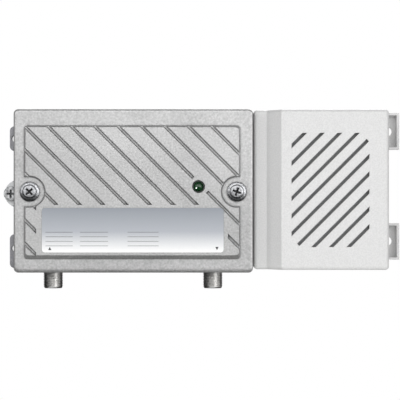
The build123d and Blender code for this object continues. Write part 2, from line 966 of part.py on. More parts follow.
def make_line_capacitor():
    x, z = psu_place(line_cap_x_share, line_cap_z_share)
    front = psu_board_front + line_cap_height
    return slab(line_cap_width, line_cap_depth, psu_board_front, front, x, z, can_corner)


def make_line_choke():
    x, z = psu_place(line_choke_x_share, line_choke_z_share)
    front = psu_board_front + line_choke_height
    choke = disc(line_choke_radius, psu_board_front, front, x, z)
    return choke - disc(line_choke_bore, psu_board_front - overrun, front + overrun, x, z)


def make_mains_terminal():
    x, z = psu_place(terminal_x_share, terminal_z_share)
    front = psu_board_front + terminal_height
    block = slab(terminal_width, terminal_depth, psu_board_front, front, x, z, can_corner)
    for side in (-1, 1):
        hole_x = x + side * terminal_pitch / 2
        block -= disc(terminal_hole_radius, front - terminal_hole_radius, front + overrun, hole_x, z)
    return block


def make_mains_fuse():
    x, z = psu_place(fuse_x_share, fuse_z_share)
    depth = psu_board_front + fuse_rise
    return upright(fuse_radius, z - fuse_length / 2, z + fuse_length / 2, x, depth)


def make_fuse_clips():
    clips = []
    x, z = psu_place(fuse_x_share, fuse_z_share)
    depth = psu_board_front + fuse_rise
    for side in (-1, 1):
        clip_z = z + side * (fuse_length - clip_length) / 2
        clip = slab(clip_width, clip_length, psu_board_front, depth + fuse_radius / 2, x, clip_z)
        clip -= upright(fuse_radius + fit_play, clip_z - clip_length, clip_z + clip_length, x, depth)
        clips.append(clip)
    return clips


def make_output_capacitors():
    cans = []
    for x_share, z_share in output_cap_shares:
        x, z = psu_place(x_share, z_share)
        can = disc(output_cap_radius, psu_board_front, psu_board_front + output_cap_height, x, z)
        cans.append(fillet(front_edges(can), capacitor_edge))
    return cans


def make_heat_sink():
    x, z = psu_place(sink_x_share, sink_z_share)
    return slab(sink_width, sink_thickness, psu_board_front, psu_board_front + sink_height, x, z)


def make_regulator():
    x, z = psu_place(sink_x_share, sink_z_share)
    z -= (sink_thickness + regulator_thickness) / 2
    front = psu_board_front + regulator_height
    return slab(regulator_width, regulator_thickness, psu_board_front, front, x, z)


# Wire passage, tie screws and cord inlet


def make_feed_bush():
    wall = base_right - base_wall
    left = wall - feed_flange_height
    right = psu_base_left + psu_wall
    bush = crossbar(feed_radius, wall, right, feed_depth, feed_z)
    bush += crossbar(feed_flange_radius, left, wall, feed_depth, feed_z)
    return bush - crossbar(feed_bore_radius, left - overrun, right + overrun, feed_depth, feed_z)


def make_feed_wires():
    wires = []
    left = base_right - base_wall - feed_flange_height - feed_pin_reach
    right = psu_base_left + psu_wall + feed_pin_reach
    for side in (-1, 1):
        wires.append(crossbar(feed_pin_radius, left, right, feed_depth, feed_z + side * feed_pin_spacing / 2))
    return wires


def make_tie_screws():
    screws = []
    wall = base_right - base_wall
    for z in tie_zs():
        screw = crossbar(tie_screw_head_radius, wall - tie_screw_head_height, wall, tie_depth, z)
        screw += crossbar(tie_screw_radius, wall, psu_base_left + psu_wall + tie_nut_height, tie_depth, z)
        screws.append(screw)
    return screws


def make_tie_nuts():
    nuts = []
    left = psu_base_left + psu_wall
    right = left + tie_nut_height
    for z in tie_zs():
        outline = Plane.YZ.offset(left) * Pos(-tie_depth, z) * RegularPolygon(tie_nut_radius, side_count=6)
        hole = crossbar(tie_screw_radius + fit_play, left - overrun, right + overrun, tie_depth, z)
        nuts.append(extrude(outline, tie_nut_height) - hole)
    return nuts


def make_cord_inlet():
    """Rubber inlet for the mains cord, flanged outside and inside the wall"""
    inner = psu_base_bottom + psu_wall
    low = psu_base_bottom - inlet_flange_height
    high = inner + inlet_flange_height
    inlet = upright(inlet_radius, low, high, inlet_x, inlet_depth)
    inlet += upright(inlet_flange_radius, low, psu_base_bottom, inlet_x, inlet_depth)
    inlet += upright(inlet_flange_radius, inner, high, inlet_x, inlet_depth)
    return inlet - upright(inlet_bore_radius, low - overrun, high + overrun, inlet_x, inlet_depth)


# All pieces by the name of their node

trimmer_names = ("gain", "slope", "return_gain", "return_slope")
left_x, right_x = screw_xs
input_x, output_x = socket_xs
left_can_share, right_can_share = can_x_shares

pieces = {
    "base_casting": make_base_casting(),
    "cover_casting": make_cover_casting(),
    "cover_seal": make_cover_seal(),
    "cover_washer_left": make_cover_washer(left_x),
    "cover_washer_right": make_cover_washer(right_x),
    "cover_screw_left": make_cover_screw(left_x, left_recess_turn),
    "cover_screw_right": make_cover_screw(right_x, right_recess_turn),
    "earth_washer": make_earth_washer(),
    "earth_screw": make_earth_screw(),
    "input_socket_barrel": make_socket_barrel(input_x),
    "output_socket_barrel": make_socket_barrel(output_x),
    "input_socket_insulator": make_socket_insulator(input_x),
    "output_socket_insulator": make_socket_insulator(output_x),
    "input_socket_contact": make_socket_contact(input_x),
    "output_socket_contact": make_socket_contact(output_x),
    "amplifier_board": make_amplifier_board(),
    "board_screws": make_board_screws(),
    "amplifier_module": make_amplifier_module(),
    "input_filter_can": make_filter_can(left_can_share),
    "output_filter_can": make_filter_can(right_can_share),
    "filter_chokes": make_filter_chokes(),
    "board_capacitors": make_board_capacitors(),
    "surface_parts": make_surface_parts(),
    "led_spacer": make_led_spacer(),
    "status_led": make_status_led(),
    "psu_base": make_psu_base(),
    "psu_cover": make_psu_cover(),
    "slot_screen": make_slot_screen(),
    "psu_shell_screws": make_shell_screws(),
    "psu_board": make_psu_board(),
    "transformer_core": make_transformer_core(),
    "transformer_bobbin": make_transformer_bobbin(),
    "bulk_capacitor": make_bulk_capacitor(),
    "line_capacitor": make_line_capacitor(),
    "line_choke": make_line_choke(),
    "mains_terminal": make_mains_terminal(),
    "mains_fuse": make_mains_fuse(),
    "fuse_clips": make_fuse_clips(),
    "output_capacitors": make_output_capacitors(),
    "heat_sink": make_heat_sink(),
    "regulator": make_regulator(),
    "feed_bush": make_feed_bush(),
    "feed_wires": make_feed_wires(),
    "tie_screws": make_tie_screws(),
    "tie_nuts": make_tie_nuts(),
    "cord_inlet": make_cord_inlet(),
}
for name, x_share in zip(trimmer_names, trimmer_x_shares):
    pieces[name + "_trimmer_body"] = make_trimmer_body(x_share)
    pieces[name + "_trimmer_rotor"] = make_trimmer_rotor(x_share)

for name, piece in pieces.items():
    solids = piece if isinstance(piece, list) else [piece]
    shape = Compound([solid for part in solids for solid in part.solids()])
    export_step(shape, os.path.join("parts", name + ".step"))
    box = shape.bounding_box()
    print(name, [round(value, 2) for value in (*box.min, *box.max)])
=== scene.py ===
# %% [markdown]
# # A television signal amplifier
# The object hangs on the wall where a house's cable comes in. A silver die-cast case holds
# the amplifier, and a white moulded box beside it holds the mains supply. Its solids come
# from a CAD program, and this lesson gives them their looks. They could be modelled here
# once more, but then the two models would drift apart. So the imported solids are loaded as
# a frame that stays as it is, and a piece made here goes where they say, in metres, with
# nothing to fit.

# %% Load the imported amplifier
import math

import bmesh
import bpy
from mathutils import Matrix, Vector


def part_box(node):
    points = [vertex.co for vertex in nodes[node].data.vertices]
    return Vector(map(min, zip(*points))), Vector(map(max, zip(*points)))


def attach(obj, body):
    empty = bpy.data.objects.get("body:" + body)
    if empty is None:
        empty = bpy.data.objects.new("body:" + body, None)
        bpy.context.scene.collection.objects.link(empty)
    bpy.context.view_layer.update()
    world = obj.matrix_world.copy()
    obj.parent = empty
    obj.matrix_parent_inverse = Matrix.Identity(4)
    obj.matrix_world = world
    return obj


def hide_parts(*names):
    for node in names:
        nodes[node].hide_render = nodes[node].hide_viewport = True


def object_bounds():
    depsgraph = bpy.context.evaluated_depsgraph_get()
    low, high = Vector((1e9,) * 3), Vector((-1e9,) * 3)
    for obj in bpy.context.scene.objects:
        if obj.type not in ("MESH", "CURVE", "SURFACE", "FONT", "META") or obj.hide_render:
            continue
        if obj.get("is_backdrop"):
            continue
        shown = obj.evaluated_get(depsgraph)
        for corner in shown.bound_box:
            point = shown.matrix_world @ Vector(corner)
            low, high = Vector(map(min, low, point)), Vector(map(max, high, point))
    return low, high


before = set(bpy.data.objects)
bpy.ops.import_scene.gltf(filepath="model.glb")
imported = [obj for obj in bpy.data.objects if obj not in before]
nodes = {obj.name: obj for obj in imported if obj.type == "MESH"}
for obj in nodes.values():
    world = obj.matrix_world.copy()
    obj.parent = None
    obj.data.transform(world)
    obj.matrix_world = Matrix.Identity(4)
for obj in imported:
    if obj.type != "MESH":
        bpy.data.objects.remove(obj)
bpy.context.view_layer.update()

mm = 0.001

# %% [markdown]
# ## The camera
# The photograph looks straight at the front from about a metre away. The camera could be
# moved until it looks right, but the picture can be measured: at the front of the metal
# case its width is 193.6 mm. A long lens at that distance takes in the same width, and it
# gives the same slight spread of the screw heads, which stand nearer to it.

# %% Camera
front_depth = 40 * mm
camera_distance = 1.02
picture_width = 193.6 * mm
picture_x = -0.5 * mm
picture_z = -4.4 * mm


def put_in_scene(name, data):
    """Makes an object of a mesh, curve, lamp or camera and adds it to the scene"""
    thing = bpy.data.objects.new(name, data)
    bpy.context.scene.collection.objects.link(thing)
    return thing


camera_data = bpy.data.cameras.new("studio_camera")
camera_data.sensor_width = 36
camera_data.lens = camera_data.sensor_width * camera_distance / picture_width
camera = put_in_scene("studio_camera", camera_data)
camera.location = (picture_x, -front_depth - camera_distance, picture_z)
camera.rotation_euler = (math.radians(90), 0, 0)
bpy.context.scene.camera = camera
print("lens in mm:", round(camera_data.lens, 1))

# %% [markdown]
# ## Colours and nodes
# Paint and plastic are given as sRGB hex values, but shaders count in linear light.
# Linear numbers could be written at once, but nobody sees a colour in them, so one function
# turns the one into the other. A second one adds a node to a material, sets its sockets and
# joins it to others, which keeps each finish below short enough to read.

# %% Helpers for materials
# A Mix node has sockets for each kind of value: these are its share, colours and result
mix_share, mix_first, mix_second, mix_result = 0, 6, 7, 2


def linear(code):
    """Turns an sRGB hex colour into the linear values that shaders use"""
    shares = [int(code[i:i + 2], 16) / 255 for i in (1, 3, 5)]
    return (*[s / 12.92 if s <= 0.04045 else ((s + 0.055) / 1.055) ** 2.4 for s in shares], 1.0)


def add(tree, kind, settings=None, links=None, **options):
    """Adds a node, gives its sockets their values and joins its inputs to other outputs"""
    node = tree.nodes.new("ShaderNode" + kind)
    for name, value in options.items():
        setattr(node, name, value)
    for name, value in (settings or {}).items():
        node.inputs[name].default_value = value
    for name, source in (links or {}).items():
        tree.links.new(source, node.inputs[name])
    return node


def new_finish(name, **sockets):
    """A material whose main shader has the given values, with its tree and its shader"""
    material = bpy.data.materials.new(name)
    material.use_nodes = True
    shader = material.node_tree.nodes["Principled BSDF"]
    for socket, value in sockets.items():
        shader.inputs[socket.replace("_", " ")].default_value = value
    return material, material.node_tree, shader


def paint(tree, shader, factor, dark, pale, low=0.35, high=0.65):
    """Colours a shader between two hex values as a factor rises from low to high"""
    ramp = add(tree, "ValToRGB", links={"Fac": factor})
    first, last = ramp.color_ramp.elements
    first.position, first.color = low, linear(dark)
    last.position, last.color = high, linear(pale)
    tree.links.new(ramp.outputs["Color"], shader.inputs["Base Color"])
    return ramp


def dress(names, material):
    """Gives CAD nodes a finish in place of the one they were packed with"""
    for name in names:
        for slot in nodes[name].material_slots:
            slot.material = material


print("white is", [round(v, 3) for v in linear("#FFFFFF")])

# %% [markdown]
# ## Lacquered die-cast aluminium
# The cover is pressed from molten aluminium and then lacquered silver. Up close it has a
# grain of about a millimetre from the blasted mould, and broad soft clouds where the metal
# cooled unevenly. The grain could be cut into the mesh, but that takes a million faces to
# show no more, so two noises at those two sizes give the colour, and the fine one also
# gives the bumps. Lacquer flakes lie in all directions, so it is a poor mirror: a shader
# that is about two thirds metallic, with a wide highlight, looks right.
#
# A rounded normal softens the edges, as the tumbling of the castings does, and where it leans away
# from the flat one the lacquer is rubbed thin and shows a little brighter. The rim round the foot
# is rounder than the other edges, so there the normal turns over three millimetres. Ambient
# occlusion finds the corners of the grooves and the feet of the walls, and the colour there is
# darkened: painted shade.

# %% Cast metal
grain_size = 0.9 * mm
grain_depth = 0.06 * mm
cloud_size = 30 * mm
foot_bottom = -38.6 * mm
foot_top = -35.8 * mm
foot_rounding = 3.4 * mm
edge_rounding = 0.25 * mm
groove_reach = 1.2 * mm
rubbed_lacquer = "#DCDCDC"
# Painted shade for the corners of the grooves and the feet of the walls: near black
painted_groove_shade = "#3C3C3C"


def cast_metal(name, pale, dark, metallic, roughness):
    """Grained and clouded metal with soft edges, and painted shade in its grooves and corners"""
    material, tree, shader = new_finish(name, Metallic=metallic, Roughness=roughness)
    place = add(tree, "TexCoord").outputs["Object"]
    grain = add(tree, "TexNoise", {"Scale": 1 / grain_size, "Detail": 4.0, "Roughness": 0.6},
                {"Vector": place})
    cloud = add(tree, "TexNoise", {"Scale": 1 / cloud_size, "Detail": 3.0}, {"Vector": place})
    both = add(tree, "Math", {1: 0.45}, {0: cloud.outputs["Fac"], 2: grain.outputs["Fac"]},
               operation="MULTIPLY_ADD")
    tone = paint(tree, shader, both.outputs[0], dark, pale, 0.45, 1.0)

    height = add(tree, "SeparateXYZ", links={0: place}).outputs["Z"]
    rounding = add(tree, "MapRange",
                   {"From Min": foot_bottom, "From Max": foot_top,
                    "To Min": foot_rounding, "To Max": edge_rounding}, {"Value": height})
    edge = add(tree, "Bevel", links={"Radius": rounding.outputs["Result"]}, samples=4)
    flat = add(tree, "NewGeometry").outputs["Normal"]
    lean = add(tree, "VectorMath", links={0: edge.outputs["Normal"], 1: flat},
               operation="DOT_PRODUCT")
    rubbed = add(tree, "MapRange", {"From Min": 0.995, "From Max": 0.80, "To Max": 0.2},
                 {"Value": lean.outputs["Value"]})
    worn = add(tree, "Mix", {mix_second: linear(rubbed_lacquer)},
               {mix_share: rubbed.outputs["Result"], mix_first: tone.outputs["Color"]},
               data_type="RGBA")

    # Painted shade: where ambient occlusion finds a corner, the colour turns dark
    open_air = add(tree, "AmbientOcclusion", {"Distance": groove_reach}, samples=8)
    unshaded_share = add(tree, "MapRange", {"From Min": 0.6, "From Max": 0.95, "To Min": 0.25},
                {"Value": open_air.outputs["AO"]})
    shade_painted = add(tree, "Mix", {mix_first: linear(painted_groove_shade)},
                {mix_share: unshaded_share.outputs["Result"], mix_second: worn.outputs[mix_result]},
                data_type="RGBA")
    tree.links.new(shade_painted.outputs[mix_result], shader.inputs["Base Color"])
    bump = add(tree, "Bump", {"Strength": 0.35, "Distance": grain_depth},
               {"Height": grain.outputs["Fac"], "Normal": edge.outputs["Normal"]})
    tree.links.new(bump.outputs["Normal"], shader.inputs["Normal"])
    return material


# Silver lacquer over the casting: pale and satin, with a fine sparkle
lacquered_casting = cast_metal("lacquered_die_cast_aluminium", "#C8C8C8", "#9A9A9A", 0.65, 0.40)
# The casting left bare and oxidised: a darker, duller grey
bare_casting = cast_metal("bare_die_cast_aluminium", "#A6A6AA", "#85858A", 0.35, 0.45)
dress(["cover_casting"], lacquered_casting)
print("cast finishes:", lacquered_casting.name, bare_casting.name)

# %% [markdown]
# ## Moulded plastics
# The supply is white ABS from a spark-eroded mould, which leaves an even, faint orange-peel
# of about 0.6 mm and a soft sheen. It isn't a pure white: it has a trace of grey, and a
# wide, weak highlight. Each plastic could be built by hand, but they differ only in colour,
# gloss and the size and depth of their grain, so one function serves them all.

# %% Moulded plastic
plastic_edge_rounding = 0.3 * mm


def moulded_plastic(name, pale, dark, roughness, grain_mm=0.6, depth_mm=0.03):
    """Plastic, rubber or ceramic with a grain, whose size and depth are in millimetres"""
    material, tree, shader = new_finish(name, Roughness=roughness)
    place = add(tree, "TexCoord").outputs["Object"]
    grain = add(tree, "TexNoise", {"Scale": 1 / (grain_mm * mm), "Detail": 3.0}, {"Vector": place})
    paint(tree, shader, grain.outputs["Fac"], dark, pale)
    edge = add(tree, "Bevel", {"Radius": plastic_edge_rounding}, samples=4)
    bump = add(tree, "Bump", {"Strength": 0.3, "Distance": depth_mm * mm},
               {"Height": grain.outputs["Fac"], "Normal": edge.outputs["Normal"]})
    tree.links.new(bump.outputs["Normal"], shader.inputs["Normal"])
    return material


# ABS: off-white, with an even and faint sheen
dress(["psu_cover", "psu_base"],
      moulded_plastic("white_spark_eroded_abs", "#E2E2E2", "#D7D7D7", 0.45))
# Nitrile rubber: near black, matt and mottled
dress(["cord_inlet", "feed_bush"],
      moulded_plastic("black_nitrile_rubber", "#2A2A2B", "#191919", 0.7, 0.5, 0.05))
# Vulcanised fibre, a pressed paper, behind the slots: an even mid grey, partly painted shade that
# darkens the slots
dress(["slot_screen"],
      moulded_plastic("grey_vulcanised_fibre", "#9C9D9E", "#8A8B8C", 0.6, 0.8))
# PVC round a wire: dull red
dress(["feed_wires"], moulded_plastic("red_pvc_sleeve", "#A8332C", "#8B2822", 0.5, 0.6))
print("materials so far:", len(bpy.data.materials))

# %% [markdown]
# ## Plastics inside the boxes
# The amplifier's inside shows when its cover is off, which is how the trimmers are reached.
# The parts there and in the supply are bought ones in their usual colours: blue trimmers
# with white rotors, a green terminal, a yellow capacitor. Plain colours would do for
# a glance, but gloss tells waxy nylon from dull epoxy, so each plastic gets its own finish.

# %% Inner plastics
# Silicone sponge: grey, porous and quite matt
dress(["cover_seal"],
      moulded_plastic("grey_silicone_sponge", "#6F7173", "#4F5153", 0.8, 0.35, 0.08))
# Epoxy: near black and dull
black_epoxy = moulded_plastic("black_moulded_epoxy", "#2B2B2D", "#1D1D1F", 0.55, 0.4)
dress(["regulator", "led_spacer"], black_epoxy)
# PTFE: white, smooth from the lathe, and waxy
dress(["input_socket_insulator", "output_socket_insulator"],
      moulded_plastic("turned_white_ptfe", "#F1F0EC", "#E2E1DC", 0.42, 0.3))
# Nylon of the terminal: leaf green, with a low gloss
dress(["mains_terminal"],
      moulded_plastic("green_moulded_nylon", "#2F8A4C", "#24713D", 0.4, 0.5))
# Flame-proof polyester: mustard yellow, with a low gloss
dress(["line_capacitor"],
      moulded_plastic("yellow_flame_proof_polyester", "#D8B32E", "#C29D20", 0.4, 0.6))
# Tape over the windings: yellow, in slow waves
dress(["transformer_bobbin"],
      moulded_plastic("yellow_polyester_tape", "#E0C24A", "#C9A934", 0.45, 1.2))
# Polyester of the trimmers: bright blue and half glossy
trimmers = ["gain", "slope", "return_gain", "return_slope"]
dress([name + "_trimmer_body" for name in trimmers],
      moulded_plastic("blue_moulded_polyester", "#2C6FB4", "#225C9A", 0.35, 0.5))
# Nylon of their rotors: milky and waxy
dress([name + "_trimmer_rotor" for name in trimmers],
      moulded_plastic("white_moulded_nylon", "#EDEDE9", "#DDDDD7", 0.38, 0.4))
print("trimmers dressed:", len(trimmers))

# %% [markdown]
# ## Plated and drawn metals
# Screws and washers are steel with a bright zinc plating, the sockets are brass under
# nickel, the filter cans tinned steel, and the heat sink black anodised aluminium. Rolling,
# drawing and turning leave fine parallel marks. An anisotropic shader could stand for them,
# but it needs a direction on every face. A noise that is stretched along one axis needs
# none, and gives both their streaks of tone and a roughness that changes from streak to
# streak. The real marks are finer than 0.05 mm, so they are drawn at 0.3 mm to show at all.
# Zinc has no marks but a dull bloom, which is drawn as even spots of 0.7 mm, and of 1.2 mm
# where it is weathered.

# %% Plated metal
roughness_change = 0.08
metal_edge_rounding = 0.12 * mm
mark_depth = 0.01 * mm


def plated_metal(name, pale, dark, roughness, stretch=(1, 1, 8), metallic=1.0, mark_mm=0.3):
    """Metal with marks across the axis of most stretch, whose spacing is in millimetres"""
    material, tree, shader = new_finish(name, Metallic=metallic)
    place = add(tree, "TexCoord").outputs["Object"]
    drawn = add(tree, "Mapping", {"Scale": stretch}, {"Vector": place})
    marks = add(tree, "TexNoise", {"Scale": 1 / (mark_mm * mm) / max(stretch), "Detail": 3.0},
                {"Vector": drawn.outputs["Vector"]})
    paint(tree, shader, marks.outputs["Fac"], dark, pale)
    rough = add(tree, "MapRange",
                {"To Min": roughness - roughness_change, "To Max": roughness + roughness_change},
                {"Value": marks.outputs["Fac"]})
    tree.links.new(rough.outputs["Result"], shader.inputs["Roughness"])
    edge = add(tree, "Bevel", {"Radius": metal_edge_rounding}, samples=4)
    bump = add(tree, "Bump", {"Strength": 0.2, "Distance": mark_depth},
               {"Height": marks.outputs["Fac"], "Normal": edge.outputs["Normal"]})
    tree.links.new(bump.outputs["Normal"], shader.inputs["Normal"])
    return material


# Bright zinc: blotched grey that still mirrors light and dark
zinc_steel = plated_metal("bright_zinc_plated_steel", "#BABBBD", "#77787B", 0.32,
                          stretch=(1, 1, 1), mark_mm=0.7)
dress(["board_screws", "psu_shell_screws", "tie_screws", "tie_nuts"], zinc_steel)
# Nickel over turned brass: a warm white with rings round the barrel
nickel_brass = plated_metal("nickel_plated_turned_brass", "#DEDDDB", "#C4C3C1", 0.30)
dress(["fuse_clips"], nickel_brass)
# Gold flash on bronze: a soft yellow shine
dress(["input_socket_contact", "output_socket_contact"],
      plated_metal("gold_flashed_bronze", "#D0AE63", "#B08E45", 0.3))
# Tin on drawn steel: pale, and streaked as it was drawn
dress(["input_filter_can", "output_filter_can"],
      plated_metal("drawn_tinned_steel", "#C9CBCC", "#AEB0B2", 0.3, (8, 1, 1)))
# Dyed oxide on aluminium: near black, half metallic, dull
dress(["heat_sink"],
      plated_metal("black_anodised_aluminium", "#3A3B3D", "#27282A", 0.45, (1, 8, 1), 0.6))
print("metals dressed, roughness varies by", roughness_change)

# %% [markdown]
# ## Pieces that show two materials
# A can capacitor is an aluminium cup in a shrunk sleeve that leaves its end bare, a chip part is
# ceramic with tinned ends, the amplifier module is moulded onto a metal flange, and a fuse is
# glass between two caps. The base is bare casting, and the front of its earth lug is painted
# nearly white: a painted highlight that lightens the lug where the case shades it. Faces could be
# given to one material or the other, but each of these is one CAD solid, whose mesh stays as it
# is. So the finish itself mixes two shaders by a share, which is one where the second one shows.

# %% Two finishes in one
def two_finishes(name, first, second, share):
    """Shows a second finish where a share, built by the given function, is one"""
    material = first.copy()
    material.name = name
    tree = material.node_tree
    shader = tree.nodes["Principled BSDF"]
    sink = tree.nodes["Material Output"]
    other = add(tree, "BsdfPrincipled", second)
    mix = add(tree, "MixShader", links={0: share(tree), 1: shader.outputs[0], 2: other.outputs[0]})
    tree.links.new(mix.outputs[0], sink.inputs["Surface"])
    return material


print("two finishes can be mixed")

# %% [markdown]
# ## Where the second material begins
# A mask could be painted for each piece, but the change always follows the shape. The
# normal tells an end face from a side, and the object's own coordinates tell how far along
# a spot lies, so each rule for the share is a few nodes of arithmetic.

# %% Rules for the share
# A face looks along an axis if the cosine of the angle between them is more than this
square_on = 0.8


def facing(axis):
    """A share that is one where the surface faces along an axis, to either side"""
    def share(tree):
        normal = add(tree, "NewGeometry").outputs["Normal"]
        along = add(tree, "SeparateXYZ", links={0: normal}).outputs[axis]
        size = add(tree, "Math", links={0: along}, operation="ABSOLUTE")
        return add(tree, "Math", {1: square_on}, {0: size.outputs[0]},
                   operation="GREATER_THAN").outputs[0]
    return share


def beyond(axis, centre, reach):
    """A share that is one further than reach from a centre, along an axis"""
    def share(tree):
        place = add(tree, "TexCoord").outputs["Object"]
        along = add(tree, "SeparateXYZ", links={0: place}).outputs[axis]
        off = add(tree, "Math", {1: centre}, {0: along}, operation="SUBTRACT")
        size = add(tree, "Math", links={0: off.outputs[0]}, operation="ABSOLUTE")
        return add(tree, "Math", {1: reach}, {0: size.outputs[0]},
                   operation="GREATER_THAN").outputs[0]
    return share


def lug_highlight_share(centre, reach):
    """A share that is one on faces that look to the front, within reach of an axis along Y"""
    def share(tree):
        place = add(tree, "TexCoord").outputs["Object"]
        flat = add(tree, "VectorMath", {1: (1, 0, 1)}, {0: place}, operation="MULTIPLY")
        off = add(tree, "VectorMath", {1: (centre.x, 0, centre.z)}, {0: flat.outputs["Vector"]},
                  operation="DISTANCE")
        near = add(tree, "Math", {1: reach}, {0: off.outputs["Value"]}, operation="LESS_THAN")
        normal = add(tree, "NewGeometry").outputs["Normal"]
        along = add(tree, "SeparateXYZ", links={0: normal}).outputs["Y"]
        front = add(tree, "Math", {1: -square_on}, {0: along}, operation="LESS_THAN")
        return add(tree, "Math", links={0: near.outputs[0], 1: front.outputs[0]},
                   operation="MULTIPLY").outputs[0]
    return share


print("degrees off an axis that still count:", round(math.degrees(math.acos(square_on))))

# %% [markdown]
# ## Dressing the mixed pieces
# The measures here are a painted highlight 12 mm across on the earth lug, and those of the real
# parts: a flange of 2.5 mm on the module, fuse caps of 5 mm. They could be read off the meshes,
# but a few known sizes, counted from the box of a piece, are easier to follow.

# %% Mixed pieces
def measured(node):
    """The centre of a CAD node, half its width, and the two corners of its box"""
    low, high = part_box(node)
    return (low + high) / 2, (high.x - low.x) / 2, low, high


earth_lug_radius = 6.0 * mm
module_flange = 2.5 * mm
fuse_cap_length = 5 * mm
# Aluminium cup, bare where the sleeve ends: pale and satin
bare_aluminium = {"Base Color": linear("#C4C5C6"), "Metallic": 1.0, "Roughness": 0.35}
# Painted highlight on the front of the earth lug: nearly white, with little mirror
lug_highlight_finish = {"Base Color": linear("#DADBDC"), "Metallic": 0.3, "Roughness": 0.45}
# Tin dipped over the ends: grey-white and satin
tin = {"Base Color": linear("#BFC0BF"), "Metallic": 1.0, "Roughness": 0.35}
# PVC shrunk over the can: dark blue and glossy
sleeve = moulded_plastic("blue_shrunk_pvc", "#27406F", "#1D3159", 0.35, 0.8)
# Fired ceramic: dull tan
ceramic = moulded_plastic("tan_fired_ceramic", "#B79A73", "#9B7F5A", 0.5, 0.2)
# Drawn glass, seen as a pale shiny tube
fuse_glass = moulded_plastic("clear_drawn_glass", "#C9D4D2", "#BBC8C6", 0.08, 1.0, 0.01)

earth_centre = measured("earth_screw")[0]
dress(["base_casting"],
      two_finishes("casting_with_painted_lug_highlight", bare_casting, lug_highlight_finish,
                   lug_highlight_share(earth_centre, earth_lug_radius)))
dress(["board_capacitors", "bulk_capacitor", "output_capacitors"],
      two_finishes("sleeved_aluminium_can", sleeve, bare_aluminium, facing("Y")))
dress(["surface_parts"],
      two_finishes("ceramic_with_tinned_ends", ceramic, tin, facing("X")))
module_low, module_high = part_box("amplifier_module")
moulded_height = module_high.y - module_flange - module_low.y
dress(["amplifier_module"],
      two_finishes("epoxy_on_aluminium_flange", black_epoxy, bare_aluminium,
                   beyond("Y", module_low.y, moulded_height)))
fuse_low, fuse_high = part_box("mains_fuse")
half_glass = (fuse_high.z - fuse_low.z) / 2 - fuse_cap_length
dress(["mains_fuse"],
      two_finishes("capped_glass_tube", fuse_glass, tin,
                   beyond("Z", (fuse_low.z + fuse_high.z) / 2, half_glass)))
print("fuse glass in mm:", round(2 * half_glass / mm, 1))

# %% [markdown]
# ## Ferrite and laminations
# The chokes are wound on ferrite, a sintered ceramic that is nearly black with a fine
# sparkle, so the function for plastics makes it too. The transformer's core is a stack of
# 0.5 mm steel sheets, whose edges show as fine stripes. Sheets could be made one by one,
# but a wave of tone looks the same. The stripes are drawn 0.8 mm apart, the finest that
# still shows.

# %% Ferrite and core sheets
sheet_spacing = 0.8 * mm
wave_length = 0.314  # of the wave texture at a scale of one
# Ferrite: near black and dull, with a fine sparkle
dress(["filter_chokes", "line_choke"],
      moulded_plastic("sintered_ferrite", "#4A4848", "#2F2E2E", 0.5, 0.25))
# Edges of stacked sheets: striped dark steel
core_steel, core_tree, core_shader = new_finish(
    "stacked_silicon_steel", Metallic=0.8, Roughness=0.45)
core_place = add(core_tree, "TexCoord").outputs["Object"]
sheets = add(core_tree, "TexWave", {"Scale": wave_length / sheet_spacing, "Distortion": 0.3},
             {"Vector": core_place}, bands_direction="Z")
paint(core_tree, core_shader, sheets.outputs["Fac"], "#4B4C50", "#7E8084", 0.2, 0.8)
dress(["transformer_core"], core_steel)
print("core sheets drawn", round(sheet_spacing / mm, 1), "mm apart")

# %% [markdown]
# ## Circuit boards
# A board is glass-fibre laminate with copper tracks under green solder mask, and tinned
# pads where the mask is open. A real layout could be drawn track by track, but nobody could
# read it at this size. A cell pattern that is measured in square steps gives runs that are
# square to each other, and they show only as a paler green. Real tracks lie a millimetre
# or less apart, so the cells are drawn 3.2 mm wide to show at all. The pads are round spots
# of 1 mm at the middle of some cells.

# %% Circuit board
cell_size = 3.2 * mm
pad_radius = 0.16  # of a cell
copper_depth = 0.03 * mm
board_finish, board_tree, board_shader = new_finish("green_solder_mask", Roughness=0.32)
board_place = add(board_tree, "TexCoord").outputs["Object"]
on_board = add(board_tree, "Mapping", {"Scale": (1, 0, 1)}, {"Vector": board_place})
cells, spots = [
    add(board_tree, "TexVoronoi", {"Scale": 1 / cell_size, "Randomness": 0.7},
        {"Vector": on_board.outputs["Vector"]}, feature=feature, distance=distance)
    for feature, distance in (("F2", "CHEBYCHEV"), ("F1", "EUCLIDEAN"))]
copper = add(board_tree, "MapRange", {"From Min": 0.62, "From Max": 0.68},
             {"Value": cells.outputs["Distance"]})
solder = add(board_tree, "Math", {1: pad_radius}, {0: spots.outputs["Distance"]},
             operation="LESS_THAN")
mask = add(board_tree, "Mix", {mix_first: linear("#1D5A36"), mix_second: linear("#2F7A4A")},
           {mix_share: copper.outputs["Result"]}, data_type="RGBA")
plated = add(board_tree, "Mix", {mix_second: linear("#C2C4C2")},
             {mix_share: solder.outputs[0], mix_first: mask.outputs[mix_result]},
             data_type="RGBA")
board_bump = add(board_tree, "Bump", {"Strength": 0.4, "Distance": copper_depth},
                 {"Height": copper.outputs["Result"]})
board_tree.links.new(plated.outputs[mix_result], board_shader.inputs["Base Color"])
board_tree.links.new(solder.outputs[0], board_shader.inputs["Metallic"])
board_tree.links.new(board_bump.outputs["Normal"], board_shader.inputs["Normal"])
dress(["amplifier_board", "psu_board"], board_finish)
print("pads:", round(2 * pad_radius * cell_size / mm, 1), "mm across")

# %% [markdown]
# ## Round pieces from rings
# Screws, washers, sockets and the lens are round. A profile could be spun by a modifier,
# but that makes neither a cross recess nor a thread. So each is a stack of rings round an
# axis. A ring is a rule that gives a radius and a height for each angle, so a shoulder,
# a cross recess and a thread, whose height rises with the angle, are all made the same way.

# %% Rings
def level(radius, height):
    """A plain round ring"""
    return lambda angle: (radius, height)


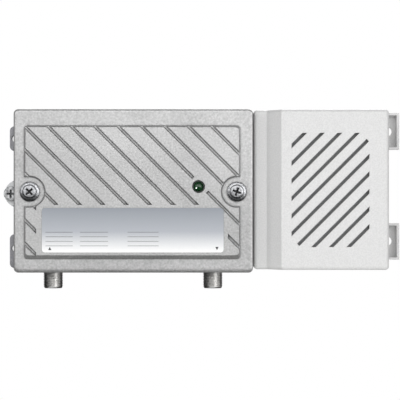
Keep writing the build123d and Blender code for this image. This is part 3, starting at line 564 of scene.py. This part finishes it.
def cross(arm, half_width, height):
    """The outline of a cross recess"""
    def rule(angle):
        fold = abs((angle + math.pi / 4) % (math.pi / 2) - math.pi / 4)
        on_tip = math.tan(fold) <= half_width / arm
        return (arm / math.cos(fold) if on_tip else half_width / math.sin(fold)), height
    return rule


def thread(start, end, pitch, outer_radius):
    """Rings of a worn 60 degree thread, flat at its crests, that fades out at both ends"""
    depth = 0.45 * pitch
    run_out = 0.8 * pitch
    # Where in a turn the profile is at its root, 0, and where at its crest, 1
    crest_by_phase = ((0.0, 0.0), (0.2, 0.0), (0.46, 1.0), (0.74, 1.0))
    rules = []
    for turn in range(math.ceil((end - start) / pitch) + 1):
        for phase, crest in crest_by_phase:
            def rule(angle, rise=turn + phase - 1, crest=crest):
                height = start + (rise + angle / math.tau) * pitch
                height = min(max(height, start), end)
                fade = min(1, (height - start) / run_out, (end - height) / run_out)
                return outer_radius - depth * (1 - crest * fade), height
            rules.append(rule)
    return rules


print("rings of a thread of ten turns:", len(thread(0, 7 * mm, 0.7 * mm, 2 * mm)))

# %% [markdown]
# ## The skin over the rings
# The rings could be bridged by hand in edit mode, but one function does it for every piece:
# it lays a grid of faces over the points of all rings. The last column of points repeats
# the first one, a thread's turn further on, and merging equal points closes the skin. A
# round piece is smooth, so only edges that bend by more than 32 degrees stay sharp.

# %% Skin
sharp_bend = math.radians(32)
merge_distance = 0.0005 * mm


def finish_piece(name, skin, material, body, *replaced):
    """Makes an object of a skin, smooth but for its sharp edges, and lets it ride on a body"""
    mesh = bpy.data.meshes.new(name)
    skin.to_mesh(mesh)
    skin.free()
    mesh.shade_smooth()
    mesh.set_sharp_from_angle(angle=sharp_bend)
    mesh.materials.append(material)
    piece = put_in_scene(name, mesh)
    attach(piece, body)
    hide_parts(*replaced)
    return piece


def ring_piece(name, rules, angles, place, material, body, *replaced):
    """Joins rings into one closed piece that rides on a body and stands for CAD nodes"""
    skin = bmesh.new()
    grid = []
    for rule in rules:
        row = []
        for angle in angles:
            radius, height = rule(angle)
            point = Vector((radius * math.cos(angle), radius * math.sin(angle), height))
            row.append(skin.verts.new(place @ point))
        grid.append(row)
    for row, after in zip(grid, grid[1:]):
        for i in range(len(row) - 1):
            skin.faces.new((row[i], row[i + 1], after[i + 1], after[i]))
    bmesh.ops.remove_doubles(skin, verts=skin.verts, dist=merge_distance)
    bmesh.ops.dissolve_degenerate(skin, edges=skin.edges, dist=merge_distance)
    bmesh.ops.recalc_face_normals(skin, faces=skin.faces)
    return finish_piece(name, skin, material, body, *replaced)


def even_angles(count):
    """Angles of one full turn, with both its ends"""
    return [math.tau * i / count for i in range(count + 1)]


def on_front_axis(centre):
    """Turns the axis of a piece to the front, through a centre, so that height is minus Y"""
    to_front = Matrix(((1, 0, 0, 0), (0, 0, -1, 0), (0, 1, 0, 0), (0, 0, 0, 1)))
    return Matrix.Translation((centre.x, 0, centre.z)) @ to_front


def on_lower_axis(centre):
    """Turns the axis of a piece down, through a centre, so that height is minus Z"""
    to_floor = Matrix(((1, 0, 0, 0), (0, -1, 0, 0), (0, 0, -1, 0), (0, 0, 0, 1)))
    return Matrix.Translation((centre.x, centre.y, 0)) @ to_floor


print("columns for 48 steps:", len(even_angles(48)))

# %% [markdown]
# ## Pan-head screws
# The cover screws and the earth screw are M4 machine screws with a cross recess. The recess could
# be cut out with a boolean, but that leaves poor faces round it, so it is a part of the same stack
# of rings. It is punched: it tapers to a point, and its corners need points of their own, so the
# angles of the rings are chosen from the cross and not evenly. Its faces get a darker finish of
# their own, which is painted shade for the dim inside of the recess.

# %% Shape of a screw
screw_pitch = 0.7 * mm
shank_radius = 1.95 * mm
tip_radius = 1.05 * mm
tip_length = 0.6 * mm
head_height = 2.5 * mm
crown_share = 0.68
shoulder_drop = 0.9 * mm
shoulder_steps = 5
edge_break = 0.15 * mm
neck_length = 0.3 * mm
recess_arm = 2.1 * mm
recess_half_width = 0.5 * mm
recess_depth = 1.5 * mm
foot_width_share = 0.6
foot_depth_share = 0.8
tip_angle = math.atan(recess_half_width / recess_arm)
# Points over a quarter turn: the tip and corner of an arm, and some between two arms
quarter = [0, tip_angle / 2, tip_angle, math.radians(20), math.radians(32), math.radians(45)]
quarter += [math.pi / 2 - angle for angle in reversed(quarter[1:-1])]
screw_angles = [angle + math.pi / 2 * n for n in range(4) for angle in quarter] + [math.tau]


def pan_screw(name, node, body, turn_degrees, finish, recess_shade_finish):
    """A screw in place of a CAD one, with its head to the front and its recess turned"""
    centre, head_radius, low, high = measured(node)
    top, end = -low.y, -high.y
    seat = top - head_height
    crown = crown_share * head_radius
    rules = [level(0, top - recess_depth),
             cross(foot_width_share * recess_arm, foot_width_share * recess_half_width,
                   top - foot_depth_share * recess_depth),
             cross(recess_arm, recess_half_width, top), level(crown, top)]
    for step in range(1, shoulder_steps + 1):
        bend = math.pi / 2 * step / shoulder_steps
        rules.append(level(crown + (head_radius - crown) * math.sin(bend),
                           top - shoulder_drop * (1 - math.cos(bend))))
    rules += [level(head_radius, seat + edge_break), level(head_radius - edge_break, seat),
              level(shank_radius, seat)]
    rules += reversed(thread(end + tip_length, seat - neck_length, screw_pitch, shank_radius))
    rules += [level(tip_radius, end), level(0, end)]
    place = on_front_axis(centre) @ Matrix.Rotation(math.radians(turn_degrees), 4, "Z")
    screw = ring_piece(name, rules, screw_angles, place, finish, body, node)
    # The recess's faces get the second finish, which is painted shade
    screw.data.materials.append(recess_shade_finish)
    back = place.inverted()
    just_below_top = top - 0.01 * mm
    for face in screw.data.polygons:
        spot = back @ face.center
        face.material_index = int(top - recess_depth <= spot.z < just_below_top
                                  and spot.xy.length < recess_arm)
    return screw


print("columns of points round a screw:", len(screw_angles))

# %% [markdown]
# ## The three screws
# All three have one shape in different states. Copies of a mesh could be turned and dressed anew,
# but their lengths differ, so one loop makes each from its own box. The cover screws were left at
# two different turns when they were tightened, and their recesses are painted nearly black as
# painted shade. The earth screw is out in the air: its zinc has gone dull, and its recess is
# painted mid grey as painted shade.

# %% Screws
# Painted shade inside a cover screw's recess: nearly black
painted_recess_dark = moulded_plastic("painted_recess_shade_dark", "#3A3A3C", "#242426", 0.4, 0.3)
# Painted shade inside the earth screw's recess: mid grey and matt
painted_recess_grey = moulded_plastic("painted_recess_shade_grey", "#8C8D8E", "#5C5D5E", 0.6, 0.8)
# Weathered zinc: chalky, pale and hardly a mirror
dull_zinc = plated_metal("dull_weathered_zinc", "#F0F1F2", "#8E8F91", 0.55,
                         stretch=(1, 1, 1), metallic=0.3, mark_mm=1.2)
for name, node, body, turn_degrees, finish, recess_shade_finish in (
        ("left_pan_screw", "cover_screw_left", "left_screw", 45, zinc_steel, painted_recess_dark),
        ("right_pan_screw", "cover_screw_right", "right_screw", -20, zinc_steel, painted_recess_dark),
        ("earth_pan_screw", "earth_screw", "earth_bolt", 0, dull_zinc, painted_recess_grey)):
    made = pan_screw(name, node, body, turn_degrees, finish, recess_shade_finish)
    print(made.name, "faces:", len(made.data.polygons))
dress(["earth_washer"], dull_zinc)

# %% [markdown]
# ## Dished washers
# The washer under each cover screw is a conical spring washer: flat under the head, and
# sloping away round it. The flat solid could be kept and shaded, but only a real slope
# mirrors what is below, above and beside the camera, so that it shows as a ring that turns
# from bright to dark. Eight rings make it.

# %% Washers
washer_rim = 0.3 * mm
washer_crown = 3.9 * mm
washer_edge = 0.1 * mm
washer_bore = shank_radius + 0.15 * mm
washer_columns = 48
for side in ("left", "right"):
    node = "cover_washer_" + side
    centre, radius, low, high = measured(node)
    back, front = -high.y, -low.y
    rules = [level(washer_bore, back), level(radius - washer_edge, back),
             level(radius, back + washer_edge), level(radius, back + washer_rim),
             level(radius - washer_edge, back + washer_rim + washer_edge),
             level(washer_crown, front), level(washer_bore, front), level(washer_bore, back)]
    made = ring_piece(side + "_dished_washer", rules, even_angles(washer_columns),
                      on_front_axis(centre), zinc_steel, side + "_washer", node)
    print(made.name, "is", round(2 * radius / mm, 1), "mm across")

# %% [markdown]
# ## Threaded cable sockets
# The two sockets below the case are turned brass with the 3/8-32 thread of cable plugs: 32
# turns an inch, which is a turn each 0.794 mm. A bump could stand for the thread, but the
# sockets are seen from the side, where its outline shows, so it is a real helix of rings.
# The barrel passes through the wall of the base and is held by a flange inside, and its
# bore holds the white insulator.

# %% Sockets
inch = 25.4 * mm
socket_pitch = inch / 32
socket_radius = inch * 3 / 16
full_thread_depth = 0.541  # of the pitch, for a new 60 degree thread
root_radius = socket_radius - full_thread_depth * socket_pitch
seat_radius = 4.5 * mm
bore_radius = 3.6 * mm
bore_edge = 0.15 * mm
mouth_ease = 0.35 * mm
thread_length = 8.95 * mm
socket_flange = 2.0 * mm
flange_edge = 0.2 * mm
socket_columns = 48
for side in ("input", "output"):
    node = side + "_socket_barrel"
    centre, flange_radius, low, high = measured(node)
    mouth, inner = -low.z, -high.z
    shoulder = inner + socket_flange
    thread_start = mouth - thread_length
    rules = [level(bore_radius, inner), level(flange_radius - flange_edge, inner),
             level(flange_radius, inner + flange_edge), level(flange_radius, shoulder),
             level(seat_radius, shoulder), level(seat_radius, thread_start)]
    rules += thread(thread_start, mouth - mouth_ease, socket_pitch, socket_radius)
    rules += [level(root_radius - mouth_ease / 2, mouth), level(bore_radius + bore_edge, mouth),
              level(bore_radius, mouth - bore_edge), level(bore_radius, inner)]
    made = ring_piece(side + "_socket_thread", rules, even_angles(socket_columns),
                      on_lower_axis(centre), nickel_brass, "case", node)
    print(made.name, "faces:", len(made.data.polygons))

# %% [markdown]
# ## The status light
# A 5 mm light-emitting diode is a chip in a small bright cup, cast in green tinted epoxy.
# Unlit, the lens is dark, because light that enters it passes the dye twice. Clear glass
# with a dyed volume could show that, but it needs many samples to come out clean. So the
# body is a deep, slightly hazy green that lets only a third of the light through, under
# a smooth clear surface.

# %% Status light
lens_radius = 2.5 * mm
lens_flange = 1.0 * mm
dome_steps = 12
lens_columns = 40
haze_size = 1.5 * mm
lens_epoxy, lens_tree, lens_shader = new_finish(
    "green_cast_epoxy", Roughness=0.07, IOR=1.54, Transmission_Weight=0.35)
lens_place = add(lens_tree, "TexCoord").outputs["Object"]
haze = add(lens_tree, "TexNoise", {"Scale": 1 / haze_size, "Detail": 2.0}, {"Vector": lens_place})
paint(lens_tree, lens_shader, haze.outputs["Fac"], "#123D1F", "#24552F")
lens_centre, flange_reach, low, high = measured("status_led")
lens_top, lens_back = -low.y, -high.y
lens_rules = [level(0, lens_back), level(flange_reach, lens_back),
              level(flange_reach, lens_back + lens_flange),
              level(lens_radius, lens_back + lens_flange)]
for step in range(dome_steps + 1):
    bend = math.pi / 2 * step / dome_steps
    lens_rules.append(level(lens_radius * math.cos(bend),
                            lens_top - lens_radius * (1 - math.sin(bend))))
ring_piece("status_lens", lens_rules, even_angles(lens_columns), on_front_axis(lens_centre),
           lens_epoxy, "case", "status_led")
print("lens:", round(2 * lens_radius / mm, 1), "mm across")

# %% [markdown]
# ## Thin printed slabs
# The rating plate is a film with ink on it, and both are flat and very thin. They could be
# planes with a modifier that thickens them, but one function that raises each outline to
# a closed slab is shorter and leaves nothing to apply.

# %% Slabs and rounded outlines
def printed_slab(name, outlines, back, front, material, body):
    """A thin slab over each outline of X and Z points, as one piece"""
    skin = bmesh.new()
    for outline in outlines:
        behind = [skin.verts.new((x, back, z)) for x, z in outline]
        ahead = [skin.verts.new((x, front, z)) for x, z in outline]
        for i in range(len(outline)):
            j = (i + 1) % len(outline)
            skin.faces.new((behind[i], behind[j], ahead[j], ahead[i]))
        skin.faces.new(behind)
        skin.faces.new(ahead)
    bmesh.ops.recalc_face_normals(skin, faces=skin.faces)
    return finish_piece(name, skin, material, body)


def rounded_outline(x, z, width, height, corner, steps=6):
    """Points of a rectangle with round corners"""
    points = []
    for n, (sx, sz) in enumerate(((1, 1), (-1, 1), (-1, -1), (1, -1))):
        for step in range(steps + 1):
            angle = math.pi / 2 * (n + step / steps)
            points.append((x + sx * (width / 2 - corner) + corner * math.cos(angle),
                           z + sz * (height / 2 - corner) + corner * math.sin(angle)))
    return points


print("points of a rounded outline:", len(rounded_outline(0, 0, 2, 1, 0.1)))

# %% [markdown]
# ## The film of the rating plate
# Such a plate is a printed polyester film, stuck on the panel. Its colour here is grey at its top
# and fades to white at its foot. A picture could be laid on it, but a ramp over its height makes
# the same fade and needs no picture. Fine dots, as of a printing screen, break it up. The film is
# 0.12 mm thick with rounded corners.

# %% Film
plate_width = 87.9 * mm
plate_height = 21.5 * mm
plate_corner = 1.5 * mm
plate_x = -33.0 * mm
plate_z = -19.05 * mm
film_thickness = 0.12 * mm
panel_front = -41.4 * mm
film_front = panel_front - film_thickness
dot_size = 0.4 * mm
dot_strength = 0.06
film, film_tree, film_shader = new_finish("printed_polyester_film", Roughness=0.4)
film_place = add(film_tree, "TexCoord").outputs["Object"]
film_height = add(film_tree, "SeparateXYZ", links={0: film_place}).outputs["Z"]
fade = add(film_tree, "MapRange",
           {"From Min": plate_z - plate_height / 2, "From Max": plate_z + plate_height / 2},
           {"Value": film_height})
dots = add(film_tree, "TexNoise", {"Scale": 1 / dot_size, "Detail": 1.0}, {"Vector": film_place})
inked = add(film_tree, "Math", {1: dot_strength},
            {0: dots.outputs["Fac"], 2: fade.outputs["Result"]}, operation="MULTIPLY_ADD")
film_ramp = paint(film_tree, film_shader, inked.outputs[0], "#FCFCFC", "#959AA2", 0.05, 1.0)
middle = film_ramp.color_ramp.elements.new(0.5)
middle.color = linear("#B3B7BE")
printed_slab("rating_film",
             [rounded_outline(plate_x, plate_z, plate_width, plate_height, plate_corner)],
             panel_front, film_front, film, "cover")
print("plate:", round(plate_width / mm, 1), "by", round(plate_height / mm, 1), "mm")

# %% [markdown]
# ## The print on it
# The plate carries ruled lines for entries, in three columns and four rows, and a small
# arrow over each socket: up where the signal comes in, down where it goes out. They could
# be a pattern in the film's material, but screen print is raised by a few hundredths of
# a millimetre, so they are slabs of their own.

# %% Ruled lines and arrows
ink_thickness = 0.03 * mm
line_thickness = 0.16 * mm
row_spacing = 2.2 * mm
first_row = plate_z - 1.0 * mm
column_ends_mm = ((-75.2, -62.0), (-58.5, -45.0), (-35.5, -20.5))
half_arrow = 0.75 * mm
arrow_z = plate_z - 8.8 * mm
up, down = 1, -1


def ruled_line(start, end, z):
    """Outline of a thin line"""
    return [(start, z), (end, z), (end, z + line_thickness), (start, z + line_thickness)]


def arrow(x, z, way):
    """Outline of a small triangle that points up or down"""
    return [(x - half_arrow, z - way * half_arrow), (x + half_arrow, z - way * half_arrow),
            (x, z + way * half_arrow)]


# Screen ink: dark grey and matt
ink = moulded_plastic("screen_printed_ink", "#2B2C30", "#1F2023", 0.6, 0.2)
marks = [ruled_line(start * mm, end * mm, first_row - row * row_spacing)
         for row in range(4) for start, end in column_ends_mm]
marks += [arrow(-73.1 * mm, arrow_z, up), arrow(7.7 * mm, arrow_z, down)]
printed_slab("rating_ink", marks, film_front, film_front - ink_thickness, ink, "cover")
print("marks:", len(marks))

# %% [markdown]
# ## Copper windings
# Each filter choke is a short ferrite post with a coil of lacquered copper wire, 0.44 mm
# thick, in eight turns. A ribbed tube could stand for it, but a helix curve with a round
# bevel is how the wire really runs, and takes no more work.

# %% Windings
# Copper under clear lacquer: warm brown and shiny
winding_copper = plated_metal("lacquered_copper_wire", "#B8653A", "#9A4F2B", 0.3,
                              stretch=(1, 1, 1))
wire_radius = 0.22 * mm
bare_end = 1.1 * mm
turns = 8
points_per_turn = 16
choke_count = 5
choke_low, choke_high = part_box("filter_chokes")
choke_radius = (choke_high.z - choke_low.z) / 2
choke_z = (choke_low.z + choke_high.z) / 2
choke_pitch = (choke_high.x - choke_low.x - 2 * choke_radius) / (choke_count - 1)
wound_length = choke_high.y - choke_low.y - 2 * bare_end
around = choke_radius + wire_radius
steps = turns * points_per_turn
for number in range(choke_count):
    x = choke_low.x + choke_radius + number * choke_pitch
    coil = bpy.data.curves.new(f"choke_winding_{number + 1}", "CURVE")
    coil.dimensions = "3D"
    coil.bevel_depth = wire_radius
    coil.bevel_resolution = 2
    line = coil.splines.new("POLY")
    line.points.add(steps)
    for i, point in enumerate(line.points):
        angle = math.tau * i / points_per_turn
        point.co = (x + around * math.cos(angle),
                    choke_high.y - bare_end - wound_length * i / steps,
                    choke_z + around * math.sin(angle), 1)
    coil.materials.append(winding_copper)
    winding = put_in_scene(coil.name, coil)
    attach(winding, "case")
print("windings:", choke_count)

# %% [markdown]
# ## Lamps
# The photograph is lit like a catalogue picture: a large soft lamp behind and above the
# camera, so that walls which lean to any side are darker than the faces. One lamp could do,
# but one on the right draws the bright bands on the sockets, and one far on the left fills
# the slope of the supply without a mirror image. A small one low on the left shines on the
# lens alone and gives its glint, and one behind the object is for views of its back.

# %% Lamps
def soft_lamp(name, width, height, power, place, aim=(0, -0.02, 0)):
    """A rectangular lamp, of a size in metres and a power in watts, that looks at a spot"""
    lamp_data = bpy.data.lights.new(name, "AREA")
    lamp_data.shape = "RECTANGLE"
    lamp_data.size = width
    lamp_data.size_y = height
    lamp_data.energy = power
    lamp = put_in_scene(name, lamp_data)
    lamp.location = place
    lamp.rotation_euler = (Vector(aim) - Vector(place)).to_track_quat("-Z", "Y").to_euler()
    lamp.visible_camera = False
    return lamp


soft_lamp("key_lamp", 2.0, 1.4, 10.5, (-0.25, -1.45, 0.45))
soft_lamp("side_lamp", 0.75, 0.9, 5.5, (0.85, -1.2, 0.12))
soft_lamp("back_lamp", 0.9, 0.6, 14.0, (0.3, 0.9, 0.9))
left_lamp = soft_lamp("left_lamp", 0.8, 0.8, 4.0, (-1.05, -0.8, 0.25))
left_lamp.visible_glossy = False
glint_lamp = soft_lamp("glint_lamp", 0.26, 0.19, 4.0, (-0.31, -0.23, -0.19), (-0.01, -0.04, 0.01))
glint_lamp.visible_diffuse = False
lens_only = bpy.data.collections.new("lens_only")
lens_only.objects.link(bpy.data.objects["status_lens"])
glint_lamp.light_linking.receiver_collection = lens_only
print("lamps:", len(bpy.data.lights))

# %% [markdown]
# ## Floor and background
# The photograph is white all round. A white wall behind the object would throw light at it
# from everywhere, so the white comes from the world, and only for what the camera, a mirror
# or glass sees: the world that lights the object stays grey. The object hangs, so the pale
# floor lies half a metre below it, out of the picture.

# %% World and floor
fill_strength = 0.28
floor_height = -0.5
world = bpy.data.worlds.new("white_studio")
bpy.context.scene.world = world
world.use_nodes = True
sky = world.node_tree
sky.nodes.clear()
rays = add(sky, "LightPath")
seen = add(sky, "Math", links={0: rays.outputs["Is Camera Ray"], 1: rays.outputs["Is Glossy Ray"]},
           operation="MAXIMUM")
seen = add(sky, "Math", links={0: seen.outputs[0], 1: rays.outputs["Is Transmission Ray"]},
           operation="MAXIMUM")
fill, white = [add(sky, "Background", {"Color": linear("#FFFFFF"), "Strength": strength})
               for strength in (fill_strength, 1.0)]
shown = add(sky, "MixShader", links={0: seen.outputs[0], 1: fill.outputs[0], 2: white.outputs[0]})
add(sky, "OutputWorld", links={"Surface": shown.outputs[0]})


def staged_card(name, low, high, finish):
    """A level or upright card of the studio, from its lowest and highest corner"""
    (x0, y0, z0), (x1, y1, z1) = low, high
    if z0 == z1:
        corners = (low, (x1, y0, z0), high, (x0, y1, z0))
    else:
        corners = (low, (x1, y1, z0), high, (x0, y0, z1))
    mesh = bpy.data.meshes.new(name)
    mesh.from_pydata(corners, [], [(0, 1, 2, 3)])
    mesh.materials.append(finish)
    card = put_in_scene(name, mesh)
    card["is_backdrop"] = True
    return card


# Matt board: pale, with no mirror at all
pale_board = new_finish("pale_matt_board", Roughness=0.9, Base_Color=linear("#E6E6E4"))[0]
staged_card("studio_floor", (-2, -2, floor_height), (2, 2, floor_height), pale_board)
bpy.context.scene.view_settings.view_transform = "Standard"
print("floor", -floor_height, "m below the origin")

# %% [markdown]
# ## Black flags
# Polished metal in an all-white room looks like white paper. The white could be dimmed, but
# then the picture's ground would be grey. Photographers hang black cards, called flags,
# outside the picture, and their reflections draw the dark edges and bands that make metal
# look like metal. Here they are seen by reflections alone and take no light from the
# object. One hangs low ahead, one low on the left and one below, and five make an open box
# behind, where the walls of the case find their dark reflections.

# %% Flags
# Flocked card: black, and matt in every direction
black_card = new_finish("black_flocked_card", Roughness=1.0, Base_Color=linear("#242424"))[0]
flags = {
    "front_flag": ((-1.4, -1.3, -0.5), (0.45, -1.3, -0.07)),
    "low_left_flag": ((-0.5, -1.3, -0.5), (-0.5, 0.12, -0.05)),
    "floor_flag": ((-0.6, -0.9, -0.3), (0.6, 0.5, -0.3)),
    "back_flag": ((-0.8, 0.8, -0.5), (0.8, 0.8, 0.5)),
    "back_left_flag": ((-0.8, -0.2, -0.5), (-0.8, 0.8, 0.5)),
    "back_right_flag": ((0.8, 0.1, -0.5), (0.8, 0.8, 0.5)),
    "back_top_flag": ((-0.8, -0.3, 0.5), (0.8, 0.8, 0.5)),
    "back_floor_flag": ((-0.8, 0.1, -0.45), (0.8, 0.8, -0.45))}
for name, (lowest, highest) in flags.items():
    flag = staged_card(name, lowest, highest, black_card)
    flag.visible_camera = flag.visible_diffuse = flag.visible_shadow = False
    flag.visible_transmission = False
print("flags:", len(flags))

# %% [markdown]
# ## Sizes and the end
# Looks must not change the amplifier's dimensions, so the box of what is seen is measured and its
# size printed.

# %% Print the visual size
low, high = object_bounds()
print("visual size in mm:", [round(v / mm, 1) for v in high - low])
